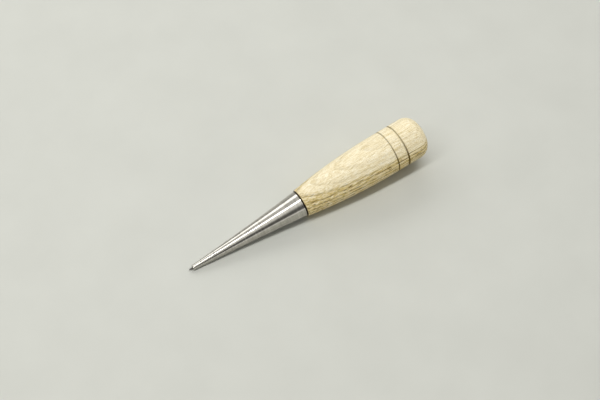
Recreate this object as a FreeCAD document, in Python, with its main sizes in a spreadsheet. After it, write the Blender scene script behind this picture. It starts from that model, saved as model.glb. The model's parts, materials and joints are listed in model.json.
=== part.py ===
import FreeCAD, Part
import math
import os
import Sketcher

# Scratch awl: a solid turned steel cone with a fine hard point, its tang glued into a turned wooden handle.
# It is drawn lying on a bench, on the lower edge of its nose and on the belly of its handle: Z is up and
# Z = 0 is the bench. Every sub-part is a body turned about the tool's axis, which is the body's own X axis,
# measured from the tip of the point towards the butt. One Placement, which all the bodies share, lays them
# down.

SIZES = [
    # alias, value in mm (counts have no unit), meaning
    ("point_showing", 2.1, "length of the hard point that stands out of the nose"),
    ("point_taper", 1.0, "length of the sharpened end of the point"),
    ("point_radius", 0.42, "radius of the point's shank"),
    ("point_tip_radius", 0.08, "radius of the flat at the sharp end"),
    ("point_bedded", 7.0, "depth of the shank in the nose"),
    ("nose_radius", 1.4, "radius of the blunt nose of the cone"),
    ("nose_rounding", 0.5, "rounding of the nose's edge"),
    ("cone_length", 64.1, "length of the cone from its nose to its base"),
    ("cone_base_radius", 7.05, "radius of the cone at its base"),
    ("cone_curve_radius", 1350.0, "radius of the long hollow curve of the cone's side"),
    ("cone_edge", 0.18, "chamfer of the cone's base edge"),
    ("boss_radius", 5.4, "radius of the boss that stands the cone off the wood"),
    ("boss_width", 0.55, "width of the boss, which is the dark gap between steel and wood"),
    ("tang_radius", 3.0, "radius of the tang"),
    ("tang_length", 34.0, "length of the tang behind the boss"),
    ("tang_chamfer", 0.8, "chamfer at the tang's end"),
    ("ring_depth", 0.4, "depth of the glue rings turned in the tang"),
    ("ring_width", 1.2, "width of a glue ring at the tang's surface"),
    ("ring_first", 6.0, "distance from the boss to the first glue ring"),
    ("ring_spacing", 5.5, "distance from one glue ring to the next"),
    ("ring_count", 5, "number of glue rings"),
    ("bore_radius", 3.3, "radius of the bore for the tang"),
    ("bore_depth", 36.0, "depth of the bore"),
    ("handle_length", 75.1, "length of the handle from its front face to the top of its dome"),
    ("front_radius", 7.52, "radius of the handle at its front face"),
    ("front_rounding", 0.35, "rounding of the handle's front edge"),
    ("widest_radius", 11.55, "radius of the handle where it is widest"),
    ("flare_length", 51.3, "length of the swelling part of the handle"),
    ("shoulder_radius", 6.5, "rounding between the handle's side and its butt"),
    ("dome_radius", 27.0, "radius of the shallow dome of the butt"),
    ("front_groove_place", 21.5, "distance from the top of the dome to the front decorative groove"),
    ("front_groove_width", 0.5, "width of the front decorative groove at the surface"),
    ("front_groove_depth", 0.35, "depth of the front decorative groove"),
    ("rear_groove_place", 15.05, "distance from the top of the dome to the rear decorative groove"),
    ("rear_groove_width", 0.65, "width of the rear decorative groove at the surface"),
    ("rear_groove_depth", 0.45, "depth of the rear decorative groove"),
]

NOSE = "Sizes.point_showing"
BASE = f"{NOSE} + Sizes.cone_length"
FRONT = f"{BASE} + Sizes.boss_width"
BUTT = f"{FRONT} + Sizes.handle_length"
RING = f"{FRONT} + Sizes.ring_first"


def make_sheet(doc):
    sheet = doc.addObject("Spreadsheet::Sheet", "Sizes")
    for row, (alias, value, meaning) in enumerate(SIZES, start=1):
        sheet.set(f"A{row}", alias)
        sheet.set(f"B{row}", str(value))
        sheet.setAlias(f"B{row}", alias)
        sheet.set(f"C{row}", meaning)
    doc.recompute()
    return sheet


def make_body(doc, name):
    body = doc.addObject("PartDesign::Body", name)
    body.Label = name
    return body


def origin_feature(body, role):
    return next(item for item in body.Origin.OriginFeatures if item.Role == role)


def make_sketch(body, name):
    """An empty sketch in the body's XZ plane: across is along the tool, up is outwards from its axis."""
    sketch = body.newObject("Sketcher::SketchObject", name)
    sketch.AttachmentSupport = [(origin_feature(body, "XZ_Plane"), "")]
    sketch.MapMode = "FlatFace"
    body.Document.recompute()
    return sketch


def draw_outline(sketch, corners, arcs):
    """Draw a closed outline through corners, each placed by two expressions: distance along, distance out.

    arcs maps the number of a side to the expression of its radius; a side curves out of the outline when
    the radius is positive and into it when it is negative. Corners run clockwise. The other sides are lines.
    """
    places = []
    for along, out in corners:
        x = float(sketch.evalExpression(along))
        y = float(sketch.evalExpression(out))
        places.append(FreeCAD.Vector(x, y, 0))
    ends = []
    for side, start in enumerate(places):
        stop = places[(side + 1) % len(places)]
        if side in arcs:
            radius = float(sketch.evalExpression(arcs[side]))
            ends.append(draw_arc(sketch, start, stop, radius))
            index = sketch.addConstraint(Sketcher.Constraint("Radius", ends[side][0], abs(radius)))
            sketch.setExpression(f"Constraints[{index}]", f"abs({arcs[side]})")
        else:
            ends.append((sketch.addGeometry(Part.LineSegment(start, stop)), 1, 2))
    for side, (line, first, last) in enumerate(ends):
        after, after_first, after_last = ends[(side + 1) % len(ends)]
        sketch.addConstraint(Sketcher.Constraint("Coincident", line, last, after, after_first))
        for kind, expression in zip(("DistanceX", "DistanceY"), corners[side]):
            value = places[side].x if kind == "DistanceX" else places[side].y
            if abs(value) < 1e-9:
                axis = -2 if kind == "DistanceX" else -1
                sketch.addConstraint(Sketcher.Constraint("PointOnObject", line, first, axis))
                continue
            index = sketch.addConstraint(Sketcher.Constraint(kind, -1, 1, line, first, value))
            sketch.setExpression(f"Constraints[{index}]", expression)
    sketch.Document.recompute()


def draw_arc(sketch, start, stop, radius):
    """Add the short arc from start to stop; on a clockwise outline a positive radius bulges outwards."""
    chord = stop - start
    middle = (start + stop) / 2
    rise = math.sqrt(radius**2 - (chord.Length / 2) ** 2)
    to_right = FreeCAD.Vector(chord.y, -chord.x, 0).normalize()
    centre = middle + to_right * math.copysign(rise, radius)
    circle = Part.Circle(centre, FreeCAD.Vector(0, 0, 1), abs(radius))
    angles = [math.atan2(point.y - centre.y, point.x - centre.x) for point in (start, stop)]
    if radius > 0:
        # A clockwise arc is stored from its far end, because a sketch keeps every arc anticlockwise.
        return sketch.addGeometry(Part.ArcOfCircle(circle, angles[1], angles[0])), 2, 1
    return sketch.addGeometry(Part.ArcOfCircle(circle, angles[0], angles[1])), 1, 2


def turn(body, kind, name, sketch):
    """Revolve a sketch about the tool's axis: kind is Revolution to add material and Groove to cut it."""
    feature = body.newObject(f"PartDesign::{kind}", name)
    feature.Profile = sketch
    feature.ReferenceAxis = (sketch, ["H_Axis"])
    feature.Angle = 360
    sketch.Visibility = False
    body.Document.recompute()
    return feature


def repeat_rings(body, name, ring):
    pattern = body.newObject("PartDesign::LinearPattern", name)
    pattern.Originals = [ring]
    pattern.Direction = (origin_feature(body, "X_Axis"), [""])
    pattern.setExpression("Length", "Sizes.ring_spacing * (Sizes.ring_count - 1)")
    pattern.setExpression("Occurrences", "Sizes.ring_count")
    body.Tip = pattern
    body.Document.recompute()


def draw_notch(sketch, place, surface, width, depth):
    """A V whose mouth has this width at the surface; it is drawn on past the surface at the same slope."""
    draw_outline(
        sketch,
        [
            (place, f"{surface} - {depth}"),
            (f"{place} - {width}", f"{surface} + {depth}"),
            (f"{place} + {width}", f"{surface} + {depth}"),
        ],
        {},
    )


def make_steel_cone(doc):
    body = make_body(doc, "steel_cone")
    profile = make_sketch(body, "cone_and_tang_outline")
    tang_end = f"{FRONT} + Sizes.tang_length"
    hole_end = f"{NOSE} + Sizes.point_bedded"
    draw_outline(
        profile,
        [
            (NOSE, "Sizes.point_radius"),
            (NOSE, "Sizes.nose_radius - Sizes.nose_rounding"),
            (f"{NOSE} + Sizes.nose_rounding", "Sizes.nose_radius"),
            (f"{BASE} - Sizes.cone_edge", "Sizes.cone_base_radius"),
            (BASE, "Sizes.cone_base_radius - Sizes.cone_edge"),
            (BASE, "Sizes.boss_radius"),
            (FRONT, "Sizes.boss_radius"),
            (FRONT, "Sizes.tang_radius"),
            (f"{tang_end} - Sizes.tang_chamfer", "Sizes.tang_radius"),
            (tang_end, "Sizes.tang_radius - Sizes.tang_chamfer"),
            (tang_end, "0"),
            (hole_end, "0"),
            (hole_end, "Sizes.point_radius"),
        ],
        {1: "Sizes.nose_rounding", 2: "-Sizes.cone_curve_radius"},
    )
    turn(body, "Revolution", "cone_and_tang", profile)
    ring = make_sketch(body, "glue_ring_outline")
    draw_notch(ring, RING, "Sizes.tang_radius", "Sizes.ring_width", "Sizes.ring_depth")
    repeat_rings(body, "glue_rings", turn(body, "Groove", "glue_ring", ring))
    return body


def make_hard_point(doc):
    body = make_body(doc, "hard_point")
    profile = make_sketch(body, "point_outline")
    draw_outline(
        profile,
        [
            ("0", "0"),
            ("0", "Sizes.point_tip_radius"),
            ("Sizes.point_taper", "Sizes.point_radius"),
            (f"{NOSE} + Sizes.point_bedded", "Sizes.point_radius"),
            (f"{NOSE} + Sizes.point_bedded", "0"),
        ],
        {},
    )
    turn(body, "Revolution", "point_shank", profile)
    return body


def make_handle(doc):
    """The wooden handle: a swelling arc, a straight stretch, a rounded shoulder, a domed butt and a bore."""
    body = make_body(doc, "handle")
    profile = make_sketch(body, "handle_outline")
    flare_end = f"{FRONT} + Sizes.flare_length"
    # The swelling is an arc that runs out level at the widest place, so its radius follows from its two ends.
    flare_run = "(Sizes.flare_length - Sizes.front_rounding)"
    flare_rise = "(Sizes.widest_radius - Sizes.front_radius)"
    flare_radius = f"({flare_run}^2 + {flare_rise}^2) / (2 * {flare_rise})"
    # The shoulder's centre lies inside the dome's circle by the shoulder's own radius.
    shoulder_out = "(Sizes.widest_radius - Sizes.shoulder_radius)"
    centres_apart = "(Sizes.dome_radius - Sizes.shoulder_radius)"
    centres_along = f"sqrt({centres_apart}^2 - {shoulder_out}^2)"
    dome_centre = f"{BUTT} - Sizes.dome_radius"
    dome_scale = f"Sizes.dome_radius / {centres_apart}"
    bore_end = f"{FRONT} + Sizes.bore_depth"
    draw_outline(
        profile,
        [
            (FRONT, "Sizes.bore_radius"),
            (FRONT, "Sizes.front_radius - Sizes.front_rounding"),
            (f"{FRONT} + Sizes.front_rounding", "Sizes.front_radius"),
            (flare_end, "Sizes.widest_radius"),
            (f"{dome_centre} + {centres_along}", "Sizes.widest_radius"),
            (f"{dome_centre} + {centres_along} * {dome_scale}", f"{shoulder_out} * {dome_scale}"),
            (BUTT, "0"),
            (bore_end, "0"),
            (bore_end, "Sizes.bore_radius"),
        ],
        {
            1: "Sizes.front_rounding",
            2: flare_radius,
            4: "Sizes.shoulder_radius",
            5: "Sizes.dome_radius",
        },
    )
    turn(body, "Revolution", "turned_handle", profile)
    for which in ("front", "rear"):
        sketch = make_sketch(body, f"{which}_groove_outline")
        place = f"{BUTT} - Sizes.{which}_groove_place"
        width = f"Sizes.{which}_groove_width"
        depth = f"Sizes.{which}_groove_depth"
        draw_notch(sketch, place, "Sizes.widest_radius", width, depth)
        turn(body, "Groove", f"{which}_groove", sketch)
    return body


def make_tang_glue(doc):
    """The cured epoxy that fills the bore round the tang, with a rib in each of the tang's glue rings."""
    body = make_body(doc, "tang_glue")
    profile = make_sketch(body, "glue_outline")
    tang_end = f"{FRONT} + Sizes.tang_length"
    bore_end = f"{FRONT} + Sizes.bore_depth"
    draw_outline(
        profile,
        [
            (FRONT, "Sizes.tang_radius"),
            (FRONT, "Sizes.bore_radius"),
            (bore_end, "Sizes.bore_radius"),
            (bore_end, "0"),
            (tang_end, "0"),
            (tang_end, "Sizes.tang_radius - Sizes.tang_chamfer"),
            (f"{tang_end} - Sizes.tang_chamfer", "Sizes.tang_radius"),
        ],
        {},
    )
    turn(body, "Revolution", "glue_sleeve", profile)
    rib = make_sketch(body, "glue_rib_outline")
    draw_outline(
        rib,
        [
            (RING, "Sizes.tang_radius - Sizes.ring_depth"),
            (f"{RING} - Sizes.ring_width / 2", "Sizes.tang_radius"),
            (f"{RING} - Sizes.ring_width / 2", "Sizes.bore_radius"),
            (f"{RING} + Sizes.ring_width / 2", "Sizes.bore_radius"),
            (f"{RING} + Sizes.ring_width / 2", "Sizes.tang_radius"),
        ],
        {},
    )
    repeat_rings(body, "glue_ribs", turn(body, "Revolution", "glue_rib", rib))
    return body


def lying_placement(sheet):
    """Where the tool's axis lies when the nose's edge and the handle's swelling both touch the bench.

    Seen from the side, the bench line touches two circles: the small one that rounds the nose and the large
    one of the handle's swelling. Its slope is the tool's tilt and its distance gives the axis's height.
    """
    front = sheet.point_showing + sheet.cone_length + sheet.boss_width
    run = sheet.flare_length - sheet.front_rounding
    rise = sheet.widest_radius - sheet.front_radius
    flare_radius = (run**2 + rise**2) / (2 * rise)
    nose_centre = (sheet.point_showing + sheet.nose_rounding, sheet.nose_radius - sheet.nose_rounding)
    flare_centre = (front + sheet.flare_length, sheet.widest_radius - flare_radius)
    apart_along = flare_centre[0] - nose_centre[0]
    apart_out = flare_centre[1] - nose_centre[1]
    apart = math.hypot(apart_along, apart_out)
    tilt = math.atan2(apart_out, apart_along) + math.asin((flare_radius - sheet.nose_rounding) / apart)
    tip_height = nose_centre[1] * math.cos(tilt) - nose_centre[0] * math.sin(tilt) + sheet.nose_rounding
    # The overall length along the bench runs from the tip to the dome's rearmost point.
    dome_centre = front + sheet.handle_length - sheet.dome_radius
    length_on_bench = dome_centre * math.cos(tilt) + sheet.dome_radius
    rotation = FreeCAD.Rotation(FreeCAD.Vector(0, 1, 0), -math.degrees(tilt))
    print(f"tilt {math.degrees(tilt):.3f} degrees, tip {tip_height:.3f} mm up, {length_on_bench:.2f} mm long")
    return FreeCAD.Placement(FreeCAD.Vector(-length_on_bench / 2, 0, tip_height), rotation)


def check_document(doc, bodies):
    for item in doc.Objects:
        if "Invalid" in item.State or "Error" in item.State:
            raise RuntimeError(f"{item.Name} failed: {item.State}")
    for body in bodies:
        if body.Shape.isNull() or not body.Shape.isValid():
            raise RuntimeError(f"{body.Label} has no valid shape")
        if len(body.Shape.Solids) != 1:
            raise RuntimeError(f"{body.Label} is not one solid")
        for feature in body.Group:
            if feature.isDerivedFrom("PartDesign::Groove"):
                cut = feature.BaseFeature.Shape.Volume - feature.Shape.Volume
                if cut <= 0:
                    raise RuntimeError(f"{feature.Name} cuts nothing")


def main():
    doc = FreeCAD.newDocument("scratch_awl")
    sheet = make_sheet(doc)
    bodies = [make_steel_cone(doc), make_hard_point(doc), make_handle(doc), make_tang_glue(doc)]
    placement = lying_placement(sheet)
    for body in bodies:
        body.Placement = placement
    doc.recompute()
    check_document(doc, bodies)
    os.makedirs("parts", exist_ok=True)
    for body in bodies:
        body.Shape.exportStep(f"parts/{body.Label}.step")
        box = body.Shape.BoundBox
        span = f"x {box.XMin:.2f}..{box.XMax:.2f}, z {box.ZMin:.3f}..{box.ZMax:.2f}"
        print(f"{body.Label}: {body.Shape.Volume:.1f} mm3, {span}")


main()
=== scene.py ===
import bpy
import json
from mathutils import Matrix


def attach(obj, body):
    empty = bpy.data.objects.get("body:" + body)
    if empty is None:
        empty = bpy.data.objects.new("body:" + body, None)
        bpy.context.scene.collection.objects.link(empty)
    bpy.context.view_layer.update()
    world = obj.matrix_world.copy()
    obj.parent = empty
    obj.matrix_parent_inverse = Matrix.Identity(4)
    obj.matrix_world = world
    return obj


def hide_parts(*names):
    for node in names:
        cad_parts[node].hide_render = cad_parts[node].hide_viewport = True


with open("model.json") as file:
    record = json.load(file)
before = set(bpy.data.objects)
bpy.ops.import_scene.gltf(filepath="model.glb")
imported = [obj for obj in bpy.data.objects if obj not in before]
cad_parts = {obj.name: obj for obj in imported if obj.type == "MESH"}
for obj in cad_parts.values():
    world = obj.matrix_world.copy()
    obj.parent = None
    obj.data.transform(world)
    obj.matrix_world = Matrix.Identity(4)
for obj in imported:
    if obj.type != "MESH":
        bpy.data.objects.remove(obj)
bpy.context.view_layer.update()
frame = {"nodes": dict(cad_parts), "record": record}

import json
import math
import random

import bpy
from mathutils import Matrix, Vector

# ---------------------------------------------------------------------------------------------------------
# The steel cone. A stainless bar turned to a long, slightly hollow cone, with its tang left on behind a small
# boss. The boss stands the base half a millimetre off the wood, so a thin dark gap runs round the joint.
# ---------------------------------------------------------------------------------------------------------
MM = 0.001
MOUNTS = {mount["name"]: mount for mount in frame["record"]["mounts"]}
TIP = Vector(MOUNTS["working_point"]["pos_m"])
TOOL_AXIS = Vector(MOUNTS["handle_clip"]["axis"]).normalized()
TILT = math.atan2(TOOL_AXIS.z, TOOL_AXIS.x)

# Steps round a turned piece, the distance in metres under which two points are one, and the sharpest corner
# that is shaded as a curve.
AROUND = 144
WELD = 1e-7
SOFT_CORNER = math.radians(30)

# Sizes are in millimetres, and places are counted along the tool from the tip of its point.
NOSE = 2.1
NOSE_RADIUS = 1.4
NOSE_ROUNDING = 0.5
POINT_RADIUS = 0.42
POINT_BED = 7.0
CONE_LENGTH = 64.1
CONE_BASE = NOSE + CONE_LENGTH
CONE_BASE_RADIUS = 7.05
CONE_CURVE = 1350.0
CONE_EDGE = 0.18
BOSS_RADIUS = 5.4
GAP = 0.55
WOOD_FRONT = CONE_BASE + GAP
TANG_RADIUS = 3.0
TANG_LENGTH = 34.0
TANG_END = WOOD_FRONT + TANG_LENGTH
TANG_CHAMFER = 0.8
GROOVE_COUNT = 5
GROOVE_START = 6.0
GROOVE_PITCH = 5.5
GROOVE_HALF = 0.6
GROOVE_DEPTH = 0.4

# The lathe's feed marks in the mesh: their spacing and their height. A finishing cut leaves them closer than
# this, and they are drawn this far apart so that they show.
FEED_STEP = 0.3
FEED_HEIGHT = 0.0003
# The finer pattern between them, as noise cells per millimetre along, across and up: a thin line about every
# 0.35 mm and a broader band about every 1.4 mm.
THIN_LINES = (2.8, 0.02, 0.02)
BROAD_BANDS = (0.7, 0.06, 0.06)
LINES_LOW, LINES_HIGH = 0.7, 1.3
STEEL_SMOOTHEST, STEEL_ROUGHEST = 0.2, 0.28
# Most of a noise pattern's values lie between these two.
NOISE_LOW, NOISE_HIGH = 0.3, 0.7
# How far in front of the base's back edge the painted shade of the joint gap starts on the steel.
STEEL_GAP_SHADE_EDGE = 0.03
# Millimetres of the tool's length in one unit of the UV map.
UV_LENGTH = 100


def arc(start, stop, radius, steps):
    """Points of an arc after start, up to stop, in (along, out); a positive radius bulges outwards."""
    (x0, y0), (x1, y1) = start, stop
    half = math.hypot(x1 - x0, y1 - y0) / 2
    rise = math.copysign(math.sqrt(radius**2 - half**2), radius)
    centre = (
        (x0 + x1) / 2 + rise * (y1 - y0) / (2 * half),
        (y0 + y1) / 2 - rise * (x1 - x0) / (2 * half),
    )
    first = math.atan2(y0 - centre[1], x0 - centre[0])
    last = math.atan2(y1 - centre[1], x1 - centre[0])
    turn = (last - first + math.pi) % (2 * math.pi) - math.pi
    angles = [first + turn * step / steps for step in range(1, steps + 1)]
    return [(centre[0] + abs(radius) * math.cos(a), centre[1] + abs(radius) * math.sin(a)) for a in angles]


def turned(name, outline):
    """Turn a closed piece: draw its outline point by point, spin it, and lay it on the tool's axis."""
    bpy.ops.object.select_all(action="DESELECT")
    bpy.ops.mesh.primitive_plane_add(size=MM)
    piece = bpy.context.object
    piece.name = name
    piece.data.name = name
    bpy.ops.object.mode_set(mode="EDIT")
    bpy.ops.mesh.merge(type="CENTER")
    place = Vector((0, 0, 0))
    for number, (along, out) in enumerate(outline):
        step = Vector((along, 0, out)) * MM - place
        place += step
        if number == 0:
            bpy.ops.transform.translate(value=step)
        else:
            bpy.ops.mesh.extrude_vertices_move(TRANSFORM_OT_translate={"value": step})
    bpy.ops.mesh.select_all(action="SELECT")
    bpy.ops.mesh.spin(steps=AROUND, angle=2 * math.pi, center=(0, 0, 0), axis=(1, 0, 0))
    bpy.ops.mesh.select_all(action="SELECT")
    bpy.ops.mesh.remove_doubles(threshold=WELD)
    bpy.ops.mesh.normals_make_consistent(inside=False)
    bpy.ops.object.mode_set(mode="OBJECT")
    piece.rotation_euler = (0, -TILT, 0)
    piece.location = TIP
    bpy.ops.object.transform_apply(location=True, rotation=True, scale=True)
    bpy.ops.object.shade_smooth_by_angle(angle=SOFT_CORNER)
    return piece


def wrap_uv(piece):
    """A UV map with U along the tool and V round it, so that the lathe lines have a direction."""
    layer = piece.data.uv_layers.new(name="lathe")
    to_tool = Matrix.Rotation(TILT, 3, "Y")
    for face in piece.data.polygons:
        turns = []
        for corner in face.loop_indices:
            local = to_tool @ (piece.data.vertices[piece.data.loops[corner].vertex_index].co - TIP)
            turns.append((corner, local.x / MM, math.atan2(local.z, local.y) / (2 * math.pi)))
        # A face that crosses the seam has corners most of a turn apart; the low ones move up by one turn.
        highest = max(turn for corner, along, turn in turns)
        for corner, along, turn in turns:
            layer.data[corner].uv = (along / UV_LENGTH, turn + 1 if highest - turn > 0.5 else turn)


def linear(code):
    """An sRGB hex colour as the linear colour that shaders take."""
    parts = [int(code[place:place + 2], 16) / 255 for place in (0, 2, 4)]
    return [part / 12.92 if part <= 0.04045 else ((part + 0.055) / 1.055) ** 2.4 for part in parts] + [1.0]


def add(tree, kind, values=None, stops=(), **settings):
    """Add a node: settings are its own options, values its inputs, each a plain value or a socket to link, and
    stops the (place, colour) pairs of a colour ramp."""
    node = tree.nodes.new(kind)
    for option, value in settings.items():
        setattr(node, option, value)
    for socket, value in (values or {}).items():
        if isinstance(value, bpy.types.NodeSocket):
            tree.links.new(value, node.inputs[socket])
        else:
            node.inputs[socket].default_value = value
    for number, (place, colour) in enumerate(stops):
        if number >= len(node.color_ramp.elements):
            node.color_ramp.elements.new(1.0)
        node.color_ramp.elements[number].position = place
        node.color_ramp.elements[number].color = colour
    return node


def new_material(name, **surface):
    """A material with one Principled shader, and its tree and shader."""
    material = bpy.data.materials.new(name)
    material.use_nodes = True
    shader = material.node_tree.nodes["Principled BSDF"]
    for socket, value in surface.items():
        shader.inputs[socket.replace("_", " ")].default_value = value
    return material, material.node_tree, shader


def tool_place(tree):
    """Object coordinates turned to the tool's axis and counted in millimetres from its tip."""
    place = add(tree, "ShaderNodeTexCoord").outputs["Object"]
    values = {"Vector": place, "Location": TIP, "Rotation": (0, -TILT, 0), "Scale": (MM, MM, MM)}
    return add(tree, "ShaderNodeMapping", values, vector_type="TEXTURE").outputs["Vector"]


def turned_steel():
    """Stainless steel left bright from the lathe: fine lines run round it and stretch its reflections
    lengthways, so it shows long light and dark bands."""
    material, tree, shader = new_material("turned stainless steel", Metallic=1.0, Anisotropic=0.75)
    place = tool_place(tree)
    lines = add(tree, "ShaderNodeMapping", {"Vector": place, "Scale": THIN_LINES}).outputs["Vector"]
    thin = add(tree, "ShaderNodeTexNoise", {"Vector": lines, "Scale": 1.0, "Detail": 2.0}).outputs["Fac"]
    bands = add(tree, "ShaderNodeMapping", {"Vector": place, "Scale": BROAD_BANDS}).outputs["Vector"]
    broad = add(tree, "ShaderNodeTexNoise", {"Vector": bands, "Scale": 1.0, "Detail": 3.0}).outputs["Fac"]
    marks = add(tree, "ShaderNodeMath", {0: thin, 1: broad}, operation="ADD").outputs[0]
    spread = add(tree, "ShaderNodeMapRange", {
        "Value": marks, "From Min": LINES_LOW, "From Max": LINES_HIGH,
    }).outputs[0]
    bright = add(tree, "ShaderNodeValToRGB", {"Fac": spread}, stops=[
        (0.0, linear("A4A199")), (1.0, linear("C9C6BE")),
    ]).outputs["Color"]
    # Painted shade: the steel turns dark brown in the joint gap behind the base, where shadow falls.
    along = add(tree, "ShaderNodeSeparateXYZ", {"Vector": place}).outputs["X"]
    steel_gap_shade = add(tree, "ShaderNodeMapRange", {
        "Value": along, "From Min": CONE_BASE - STEEL_GAP_SHADE_EDGE, "From Max": CONE_BASE,
    }).outputs[0]
    steel_gap_shaded = add(tree, "ShaderNodeMix", {
        "Factor": steel_gap_shade, "A": bright, "B": linear("33240C"),
    }, data_type="RGBA").outputs["Result"]
    tree.links.new(steel_gap_shaded, shader.inputs["Base Color"])
    rough = add(tree, "ShaderNodeMapRange", {
        "Value": broad, "From Min": NOISE_LOW, "From Max": NOISE_HIGH,
        "To Min": STEEL_SMOOTHEST, "To Max": STEEL_ROUGHEST,
    }).outputs[0]
    tree.links.new(rough, shader.inputs["Roughness"])
    bump = add(tree, "ShaderNodeBump", {"Height": marks, "Strength": 0.06, "Distance": 0.02 * MM})
    tree.links.new(bump.outputs["Normal"], shader.inputs["Normal"])
    lengthways = add(tree, "ShaderNodeTangent", direction_type="UV_MAP", uv_map="lathe")
    tree.links.new(lengthways.outputs["Tangent"], shader.inputs["Tangent"])
    return material


feed = random.Random(3)
side_start = (NOSE + NOSE_ROUNDING, NOSE_RADIUS)
side_end = (CONE_BASE - CONE_EDGE, CONE_BASE_RADIUS)
side = arc(side_start, side_end, -CONE_CURVE, steps=round((side_end[0] - side_start[0]) / FEED_STEP))
side = [(along, out + FEED_HEIGHT * feed.uniform(-1, 1)) for along, out in side]
nose_edge = (NOSE, NOSE_RADIUS - NOSE_ROUNDING)
cone_outline = [(NOSE + POINT_BED, 0), (NOSE + POINT_BED, POINT_RADIUS), (NOSE, POINT_RADIUS), nose_edge]
cone_outline += arc(nose_edge, side_start, NOSE_ROUNDING, steps=6) + side
cone_outline += [(CONE_BASE, CONE_BASE_RADIUS - CONE_EDGE), (CONE_BASE, BOSS_RADIUS)]
cone_outline += [(WOOD_FRONT, BOSS_RADIUS), (WOOD_FRONT, TANG_RADIUS)]
for groove in range(GROOVE_COUNT):
    middle = WOOD_FRONT + GROOVE_START + GROOVE_PITCH * groove
    cone_outline += [
        (middle - GROOVE_HALF, TANG_RADIUS),
        (middle, TANG_RADIUS - GROOVE_DEPTH),
        (middle + GROOVE_HALF, TANG_RADIUS),
    ]
cone_outline += [(TANG_END - TANG_CHAMFER, TANG_RADIUS), (TANG_END, TANG_RADIUS - TANG_CHAMFER), (TANG_END, 0)]
cone = turned("turned_cone", cone_outline)
wrap_uv(cone)
cone.data.materials.append(turned_steel())
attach(cone, "root")
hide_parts("steel_cone")

# ---------------------------------------------------------------------------------------------------------
# The hard point. A thin pin of dark sintered carbide pressed into the nose and ground to a short taper; it
# keeps the CAD shape and gets its grinding marks and its colour here.
# ---------------------------------------------------------------------------------------------------------
# The wheel's ring marks, as noise cells per millimetre: one about every 0.07 mm along the pin.
WHEEL_MARKS = (14.0, 1.5, 1.5)


def ground_carbide():
    """Sintered tungsten carbide: dark grey, dull, with ring marks from the grinding wheel."""
    material, tree, shader = new_material("ground tungsten carbide", Metallic=1.0, Roughness=0.42)
    place = tool_place(tree)
    rings = add(tree, "ShaderNodeMapping", {"Vector": place, "Scale": WHEEL_MARKS}).outputs["Vector"]
    wheel = add(tree, "ShaderNodeTexNoise", {"Vector": rings, "Scale": 1.0, "Detail": 3.0}).outputs["Fac"]
    dull = add(tree, "ShaderNodeValToRGB", {"Fac": wheel}, stops=[
        (NOISE_LOW, linear("4E4B47")), (NOISE_HIGH, linear("6A6762")),
    ]).outputs["Color"]
    tree.links.new(dull, shader.inputs["Base Color"])
    bump = add(tree, "ShaderNodeBump", {"Height": wheel, "Strength": 0.3, "Distance": 0.02 * MM})
    tree.links.new(bump.outputs["Normal"], shader.inputs["Normal"])
    return material


frame["nodes"]["hard_point"].data.materials.clear()
frame["nodes"]["hard_point"].data.materials.append(ground_carbide())

# ---------------------------------------------------------------------------------------------------------
# The handle. One piece of pale ring-porous wood, turned, sanded and oiled: it swells from the joint, runs
# straight past two dark cut lines, and ends in a rounded shoulder and a shallow dome.
# ---------------------------------------------------------------------------------------------------------
FRONT_RADIUS = 7.52
FRONT_ROUNDING = 0.35
WIDEST_RADIUS = 11.55
FLARE = 51.3
HANDLE_LENGTH = 75.1
BUTT = WOOD_FRONT + HANDLE_LENGTH
SHOULDER_RADIUS = 6.5
DOME_RADIUS = 27.0
BORE_RADIUS = 3.3
BORE_DEPTH = 36.0
BORE_END = WOOD_FRONT + BORE_DEPTH
# Each cut line: its distance from the top of the dome, its width and its depth.
CUT_LINES = [(21.5, 0.5, 0.35), (15.05, 0.65, 0.45)]

# The growth rings: the pith's depth below the handle's middle, its shift to the front as a part of that depth,
# the width of a ring, the run-out of the grain in degrees, and the place along the tool that it turns about.
PITH_DEPTH = 70.0
PITH_FORWARD = 0.12
GROWTH_RING = 2.02
GRAIN_RUN_OUT = 2.5
GRAIN_MIDDLE = 100.0
# So long a scale along the pith that only the distance out from it counts.
ENDLESS = 1e4
# How open the wood is across one ring, from its first row of pores to its dense end.
RING_OPENNESS = [(0.0, 0.0), (0.06, 1.0), (0.3, 0.55), (0.55, 0.1), (1.0, 0.0)]
# Distances from the pith: the wood is pale beyond the first and brown within the second.
PALE_BEYOND = PITH_DEPTH + 8.0
BROWN_WITHIN = PITH_DEPTH + 6.2
# How strongly rings and pores show in the pale wood, beside 1 in the brown.
PALE_STRENGTH = 0.15
BAND_STRENGTH = 0.7
PORE_STRENGTH = 0.95

# Patterns, as noise cells per millimetre along, across and up. The rings wander by up to WANDER_REACH
# millimetres, in waves some 40 mm long and 7 mm wide. Real pores are about 0.2 mm wide and fibres a tenth of
# that: both are drawn coarser so that they show, the pores about 3 mm long and 0.4 mm wide, the fibres about
# 6 mm long and 0.3 mm wide. The flecks between the fibres are about 0.5 mm long and 0.25 mm wide.
WANDER = (0.025, 0.14, 0.14)
WANDER_REACH = 1.6
PORES = (0.3, 2.6, 2.6)
FIBRES = (0.16, 3.4, 3.4)
FLECKS = (2.0, 4.0, 4.0)
# The noise level above which a pore opens, in the dense wood and in the open wood, and its soft edge.
PORE_LEVEL_DENSE, PORE_LEVEL_OPEN = 0.6, 0.43
PORE_EDGE = 0.1
# The brown comes in streaks: fibre noise levels of the palest and the brownest, and how brown these are.
PALEST_FIBRE, BROWNEST_FIBRE = 0.6, 0.42
LEAST_BROWN, MOST_BROWN = 0.15, 1.3

# The burn in the cut lines and the painted shade on the front face are made darker low on the handle as
# painted shade: their strength at its top and lower down, and the height above its middle from which they are
# full.
SHADE_AT_TOP, SHADE_LOW_DOWN = 0.36, 0.97
FULL_SHADE_HEIGHT = 4.0
# The painted shade's reach from the front face in the joint gap: none beyond the first, full within the
# second.
FACE_SHADE_EDGE, FACE_SHADE_FULL = 0.08, 0.02
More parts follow.
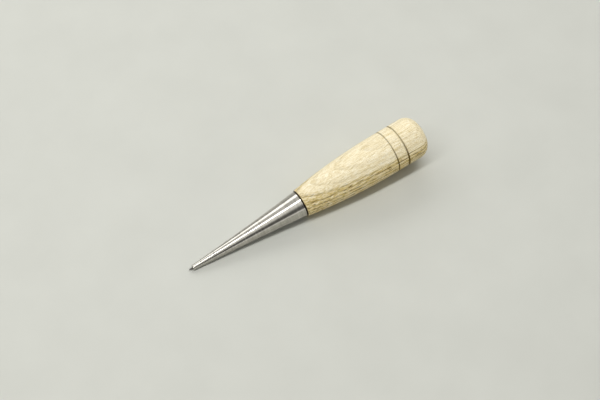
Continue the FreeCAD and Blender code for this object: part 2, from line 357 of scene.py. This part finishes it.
# Oiled and sanded wood has a soft sheen; open pores and the burn lines are dull.
OILED_ROUGHNESS, OPEN_ROUGHNESS = 0.4, 0.8


def oiled_wood():
    """Ring-porous wood: nearly flat growth rings lie level in the handle, so they show as straight dark lines
    low on its sides and open out into long pointed arches higher up. Each ring starts with a row of pores."""
    material, tree, shader = new_material("oiled ring-porous wood", IOR=1.5, Specular_IOR_Level=0.3)
    place = tool_place(tree)
    slow = add(tree, "ShaderNodeMapping", {"Vector": place, "Scale": WANDER}).outputs["Vector"]
    waves = add(tree, "ShaderNodeTexNoise", {"Vector": slow, "Scale": 1.0, "Detail": 3.0}).outputs["Color"]
    shift = add(tree, "ShaderNodeVectorMath", {
        0: waves, 1: (0.0, WANDER_REACH, WANDER_REACH),
    }, operation="MULTIPLY").outputs[0]
    bent = add(tree, "ShaderNodeVectorMath", {0: place, 1: shift}, operation="ADD").outputs[0]
    pith = add(tree, "ShaderNodeMapping", {
        "Vector": bent,
        "Location": (GRAIN_MIDDLE, -PITH_DEPTH * PITH_FORWARD, -PITH_DEPTH),
        "Rotation": (0.0, math.radians(GRAIN_RUN_OUT), 0.0),
        "Scale": (ENDLESS, 1.0, 1.0),
    }, vector_type="TEXTURE").outputs["Vector"]
    from_pith = add(tree, "ShaderNodeVectorMath", {0: pith}, operation="LENGTH").outputs["Value"]
    year = add(tree, "ShaderNodeMath", {0: from_pith, 1: GROWTH_RING}, operation="DIVIDE").outputs[0]
    season = add(tree, "ShaderNodeMath", {0: year}, operation="FRACT").outputs[0]
    early = add(tree, "ShaderNodeValToRGB", {"Fac": season}, stops=[
        (part, (openness, openness, openness, 1)) for part, openness in RING_OPENNESS
    ]).outputs["Color"]
    # Older wood, nearer the pith, is browner and its pores are darker.
    heart = add(tree, "ShaderNodeMapRange", {
        "Value": from_pith, "From Min": PALE_BEYOND, "From Max": BROWN_WITHIN,
    }).outputs[0]
    # Pores are open vessels, cut lengthways, and crowd together where the ring is open.
    vessels = add(tree, "ShaderNodeMapping", {"Vector": bent, "Scale": PORES}).outputs["Vector"]
    dashes = add(tree, "ShaderNodeTexNoise", {"Vector": vessels, "Scale": 1.0, "Detail": 2.0}).outputs["Fac"]
    limit = add(tree, "ShaderNodeMapRange", {
        "Value": early, "To Min": PORE_LEVEL_DENSE, "To Max": PORE_LEVEL_OPEN,
    }).outputs[0]
    over = add(tree, "ShaderNodeMath", {0: dashes, 1: limit}, operation="SUBTRACT").outputs[0]
    pores = add(tree, "ShaderNodeMapRange", {"Value": over, "From Min": 0.0, "From Max": PORE_EDGE}).outputs[0]
    # Fibres are fine lengthways streaks, with small flecks between them.
    fibres = add(tree, "ShaderNodeMapping", {"Vector": bent, "Scale": FIBRES}).outputs["Vector"]
    streaks = add(tree, "ShaderNodeTexNoise", {"Vector": fibres, "Scale": 1.0, "Detail": 3.0}).outputs["Fac"]
    specks = add(tree, "ShaderNodeMapping", {"Vector": place, "Scale": FLECKS}).outputs["Vector"]
    flecks = add(tree, "ShaderNodeTexNoise", {"Vector": specks, "Scale": 1.0, "Detail": 2.0}).outputs["Fac"]
    mixed = add(tree, "ShaderNodeMath", {0: streaks, 1: flecks}, operation="ADD").outputs[0]
    mean = add(tree, "ShaderNodeMath", {0: mixed, 1: 0.5}, operation="MULTIPLY").outputs[0]
    ground = add(tree, "ShaderNodeValToRGB", {"Fac": mean}, stops=[
        (0.36, linear("C8B274")), (0.5, linear("F0E2BC")), (0.61, linear("FEF8E4")),
    ]).outputs["Color"]
    uneven = add(tree, "ShaderNodeMapRange", {
        "Value": streaks, "From Min": PALEST_FIBRE, "From Max": BROWNEST_FIBRE,
        "To Min": LEAST_BROWN, "To Max": MOST_BROWN,
    }).outputs[0]
    brown = add(tree, "ShaderNodeMath", {0: heart, 1: uneven}, operation="MULTIPLY").outputs[0]
    toned = add(tree, "ShaderNodeMix", {
        "Factor": brown, "A": ground, "B": linear("ECE2BA"),
    }, data_type="RGBA", blend_type="MULTIPLY").outputs["Result"]
    strength = add(tree, "ShaderNodeMapRange", {
        "Value": heart, "To Min": PALE_STRENGTH, "To Max": 1.0,
    }).outputs[0]
    band = add(tree, "ShaderNodeMath", {0: early, 1: BAND_STRENGTH}, operation="MULTIPLY").outputs[0]
    band = add(tree, "ShaderNodeMath", {0: band, 1: strength}, operation="MULTIPLY").outputs[0]
    banded = add(tree, "ShaderNodeMix", {
        "Factor": band, "A": toned, "B": linear("B69B50"),
    }, data_type="RGBA").outputs["Result"]
    depth = add(tree, "ShaderNodeMath", {0: pores, 1: strength}, operation="MULTIPLY").outputs[0]
    depth = add(tree, "ShaderNodeMath", {0: depth, 1: PORE_STRENGTH}, operation="MULTIPLY").outputs[0]
    porous = add(tree, "ShaderNodeMix", {
        "Factor": depth, "A": banded, "B": linear("6C5622"),
    }, data_type="RGBA").outputs["Result"]
    # The cut lines are burnt brown, with painted shade making them darker low on the handle, and the front
    # face in the joint gap is darkened as painted shade.
    sides = add(tree, "ShaderNodeSeparateXYZ", {"Vector": place})
    along, height = sides.outputs["X"], sides.outputs["Z"]
    burn_and_shade = 0.0
    for from_butt, width, _ in CUT_LINES:
        off = add(tree, "ShaderNodeMath", {0: along, 1: BUTT - from_butt}, operation="SUBTRACT").outputs[0]
        near = add(tree, "ShaderNodeMath", {0: off}, operation="ABSOLUTE").outputs[0]
        line = add(tree, "ShaderNodeMapRange", {
            "Value": near, "From Min": width, "From Max": width / 2,
        }).outputs[0]
        burn_and_shade = add(tree, "ShaderNodeMath", {0: line, 1: burn_and_shade}, operation="MAXIMUM").outputs[0]
    # Painted shade: the burn and the front face's shade are weaker at the top of the handle and full lower
    # down, where less light falls.
    lower_shade = add(tree, "ShaderNodeMapRange", {
        "Value": height, "From Min": WIDEST_RADIUS, "From Max": FULL_SHADE_HEIGHT,
        "To Min": SHADE_AT_TOP, "To Max": SHADE_LOW_DOWN,
    }).outputs[0]
    burn_and_shade = add(tree, "ShaderNodeMath", {0: burn_and_shade, 1: lower_shade}, operation="MULTIPLY").outputs[0]
    lined = add(tree, "ShaderNodeMix", {
        "Factor": burn_and_shade, "A": porous, "B": linear("645000"),
    }, data_type="RGBA").outputs["Result"]
    # Painted shade: the wood's front face in the joint gap is darkened to a dark brown.
    face_shade = add(tree, "ShaderNodeMapRange", {
        "Value": along, "From Min": WOOD_FRONT + FACE_SHADE_EDGE, "From Max": WOOD_FRONT + FACE_SHADE_FULL,
    }).outputs[0]
    face_shade = add(tree, "ShaderNodeMath", {0: face_shade, 1: lower_shade}, operation="MULTIPLY").outputs[0]
    face_shaded = add(tree, "ShaderNodeMix", {
        "Factor": face_shade, "A": lined, "B": linear("382508"),
    }, data_type="RGBA").outputs["Result"]
    tree.links.new(face_shaded, shader.inputs["Base Color"])
    open_grain = add(tree, "ShaderNodeMath", {0: pores, 1: burn_and_shade}, operation="MAXIMUM").outputs[0]
    rough = add(tree, "ShaderNodeMapRange", {
        "Value": open_grain, "To Min": OILED_ROUGHNESS, "To Max": OPEN_ROUGHNESS,
    }).outputs[0]
    tree.links.new(rough, shader.inputs["Roughness"])
    sunk = add(tree, "ShaderNodeMath", {0: mean, 1: pores}, operation="SUBTRACT").outputs[0]
    bump = add(tree, "ShaderNodeBump", {"Height": sunk, "Strength": 0.4, "Distance": 0.04 * MM})
    tree.links.new(bump.outputs["Normal"], shader.inputs["Normal"])
    return material


# The shoulder's arc runs into the straight side and into the dome without a corner, and so does the flare into
# the straight side.
dome_centre = BUTT - DOME_RADIUS
shoulder_out = WIDEST_RADIUS - SHOULDER_RADIUS
centres_apart = DOME_RADIUS - SHOULDER_RADIUS
shoulder_along = dome_centre + math.sqrt(centres_apart**2 - shoulder_out**2)
dome_scale = DOME_RADIUS / centres_apart
dome_edge = (dome_centre + (shoulder_along - dome_centre) * dome_scale, shoulder_out * dome_scale)
flare_run = FLARE - FRONT_ROUNDING
flare_rise = WIDEST_RADIUS - FRONT_RADIUS
flare_radius = (flare_run**2 + flare_rise**2) / (2 * flare_rise)
face_edge = (WOOD_FRONT, FRONT_RADIUS - FRONT_ROUNDING)
flare_start = (WOOD_FRONT + FRONT_ROUNDING, FRONT_RADIUS)
flare_end = (WOOD_FRONT + FLARE, WIDEST_RADIUS)
handle_outline = [(BORE_END, 0), (BORE_END, BORE_RADIUS), (WOOD_FRONT, BORE_RADIUS), face_edge]
handle_outline += arc(face_edge, flare_start, FRONT_ROUNDING, steps=6)
handle_outline += arc(flare_start, flare_end, flare_radius, steps=90)
for from_butt, width, cut in CUT_LINES:
    middle = BUTT - from_butt
    handle_outline += [
        (middle - width / 2, WIDEST_RADIUS),
        (middle, WIDEST_RADIUS - cut),
        (middle + width / 2, WIDEST_RADIUS),
    ]
handle_outline += [(shoulder_along, WIDEST_RADIUS)]
handle_outline += arc((shoulder_along, WIDEST_RADIUS), dome_edge, SHOULDER_RADIUS, steps=20)
handle_outline += arc(dome_edge, (BUTT, 0), DOME_RADIUS, steps=12)
handle = turned("turned_handle", handle_outline)
handle.data.materials.append(oiled_wood())
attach(handle, "root")
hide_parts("handle")

# ---------------------------------------------------------------------------------------------------------
# The glue round the tang. Cured amber epoxy that was poured into the handle's bore before the tang went in;
# nothing of it shows outside, and it keeps its CAD shape.
# ---------------------------------------------------------------------------------------------------------
# Clouds of stirred-in air, in noise cells per millimetre: one about every 1.2 mm.
CLOUDS = 0.8


def cured_epoxy():
    """Two-part epoxy: amber, faintly cloudy where air was stirred in."""
    material, tree, shader = new_material("cured amber epoxy", Roughness=0.25, IOR=1.55)
    place = tool_place(tree)
    cloud = add(tree, "ShaderNodeTexNoise", {"Vector": place, "Scale": CLOUDS, "Detail": 4.0}).outputs["Fac"]
    amber = add(tree, "ShaderNodeValToRGB", {"Fac": cloud}, stops=[
        (NOISE_LOW, linear("8C6A2E")), (NOISE_HIGH, linear("B8964F")),
    ]).outputs["Color"]
    tree.links.new(amber, shader.inputs["Base Color"])
    return material


frame["nodes"]["tang_glue"].data.materials.clear()
frame["nodes"]["tang_glue"].data.materials.append(cured_epoxy())

# ---------------------------------------------------------------------------------------------------------
# The bench, the light and the camera. A pale matt bench top, soft light from behind and above, a room that is
# dark in front with a low fill there, and a camera that looks down at the tool from its front left.
# ---------------------------------------------------------------------------------------------------------
# In metres; the tone clouds are noise cells per metre, one about every 33 mm.
BENCH_SIZE = 6.0
TONE_CLOUDS = 30.0


def matt_laminate():
    """Pale grey-green matt laminate, with faint slow changes of tone."""
    material, tree, shader = new_material("pale matt laminate", Roughness=0.7, IOR=1.45)
    place = add(tree, "ShaderNodeTexCoord").outputs["Object"]
    cloud = add(tree, "ShaderNodeTexNoise", {"Vector": place, "Scale": TONE_CLOUDS, "Detail": 3.0})
    tone = add(tree, "ShaderNodeValToRGB", {"Fac": cloud.outputs["Fac"]}, stops=[
        (NOISE_LOW, linear("C6C7BF")), (NOISE_HIGH, linear("CACBC3")),
    ]).outputs["Color"]
    tree.links.new(tone, shader.inputs["Base Color"])
    return material


bpy.ops.object.select_all(action="DESELECT")
bpy.ops.mesh.primitive_plane_add(size=BENCH_SIZE, location=(0, 0, 0))
bench = bpy.context.object
bench.name = "bench_top"
bench.data.materials.append(matt_laminate())

# The lights hang this far from the tool, in metres, and a little towards its point.
LIGHT_DISTANCE = 0.75
LIGHT_SHIFT = -0.15


def soft_box(name, rise, size, brightness):
    """An area light of this length along the tool and this width, in metres; rise is its angle up from the
    level in front, in degrees."""
    angle = math.radians(rise)
    light = bpy.data.lights.new(name, "AREA")
    light.shape = "RECTANGLE"
    light.size, light.size_y = size
    light.energy = brightness * math.pi * size[0] * size[1]
    box = bpy.data.objects.new(name, light)
    toward = Vector((0, -math.cos(angle), math.sin(angle)))
    box.location = toward * LIGHT_DISTANCE + Vector((LIGHT_SHIFT, 0, 0))
    box.rotation_euler = toward.to_track_quat("Z", "Y").to_euler()
    bpy.context.collection.objects.link(box)
    return box


soft_box("back_window", rise=144, size=(1.8, 0.33), brightness=2.0)
soft_box("overhead_strip", rise=87, size=(1.4, 0.085), brightness=12.2)
# The low fill lifts the side that faces the camera; it is kept out of the steel's reflections.
front_fill = soft_box("front_fill", rise=5.5, size=(1.8, 0.118), brightness=2.1)
front_fill.visible_glossy = False

# The room's brightness from level in front (0), over the top (0.5), to level behind (1).
ROOM = [
    (0.0, 0.6), (0.035, 1.3), (0.065, 0.3), (0.1, 0.14), (0.19, 0.14), (0.25, 0.34), (0.3, 1.0),
    (0.38, 1.3), (0.45, 0.85), (0.55, 0.8), (0.72, 0.75), (0.85, 0.5), (1.0, 0.4),
]
ROOM_TINT = (1.0, 0.99, 0.96)
# It is brightest a little towards the butt and dims to both ends; these are X parts of a direction.
ROOM_MIDDLE = 0.3
BRIGHT_WITHIN, DIM_BEYOND = 0.1, 0.8
BRIGHT_END, DIM_END = 1.5, 0.3
# It lights matt surfaces at this share of what polished steel reflects, and past the bench it is plain grey.
MATT_SHARE = 0.5
PLAIN_GREY = 0.62


def grey(level):
    """The room's slightly warm grey at this brightness."""
    return [level * part for part in ROOM_TINT] + [1]


world = bpy.data.worlds.new("room")
bpy.context.scene.world = world
world.use_nodes = True
room = world.node_tree
outward = add(room, "ShaderNodeTexCoord").outputs["Generated"]
direction = add(room, "ShaderNodeSeparateXYZ", {"Vector": outward})
front = add(room, "ShaderNodeMath", {0: direction.outputs["Y"], 1: -1.0}, operation="MULTIPLY").outputs[0]
climb = add(room, "ShaderNodeMath", {0: direction.outputs["Z"], 1: front}, operation="ARCTAN2").outputs[0]
over_the_top = add(room, "ShaderNodeMath", {0: climb, 1: math.pi}, operation="DIVIDE").outputs[0]
walls = add(room, "ShaderNodeValToRGB", {"Fac": over_the_top}, stops=[
    (part, grey(level)) for part, level in ROOM
]).outputs["Color"]
aside = add(room, "ShaderNodeMath", {
    0: direction.outputs["X"], 1: ROOM_MIDDLE,
}, operation="SUBTRACT").outputs[0]
aside = add(room, "ShaderNodeMath", {0: aside}, operation="ABSOLUTE").outputs[0]
reach = add(room, "ShaderNodeMapRange", {
    "Value": aside, "From Min": BRIGHT_WITHIN, "From Max": DIM_BEYOND, "To Min": BRIGHT_END, "To Max": DIM_END,
}).outputs[0]
path = add(room, "ShaderNodeLightPath")
share = add(room, "ShaderNodeMapRange", {
    "Value": path.outputs["Is Glossy Ray"], "To Min": MATT_SHARE,
}).outputs[0]
level = add(room, "ShaderNodeMath", {0: reach, 1: share}, operation="MULTIPLY").outputs[0]
lit = add(room, "ShaderNodeVectorMath", {0: walls, "Scale": level}, operation="SCALE").outputs[0]
seen = add(room, "ShaderNodeMix", {
    "Factor": path.outputs["Is Camera Ray"], "A": lit, "B": grey(PLAIN_GREY),
}, data_type="RGBA").outputs["Result"]
room.links.new(seen, room.nodes["Background"].inputs["Color"])

# The camera's turn from the front towards the point, its rise above the bench, its distance in metres, and its
# lens and sensor width in millimetres.
CAMERA_TURN = math.radians(32.42)
CAMERA_RISE = math.radians(56.21)
CAMERA_DISTANCE = 0.6263
CAMERA_LENS = 72.0
CAMERA_SENSOR = 36.0
AIM = Vector((-0.0006, 0.0065, 0.0))
camera_data = bpy.data.cameras.new("camera")
camera_data.lens = CAMERA_LENS
camera_data.sensor_width = CAMERA_SENSOR
camera = bpy.data.objects.new("camera", camera_data)
bpy.context.collection.objects.link(camera)
back = Vector((
    -math.sin(CAMERA_TURN) * math.cos(CAMERA_RISE),
    -math.cos(CAMERA_TURN) * math.cos(CAMERA_RISE),
    math.sin(CAMERA_RISE),
))
camera.location = AIM + back * CAMERA_DISTANCE
camera.rotation_euler = back.to_track_quat("Z", "Y").to_euler()
bpy.context.scene.camera = camera
bpy.context.scene.view_settings.view_transform = "Standard"
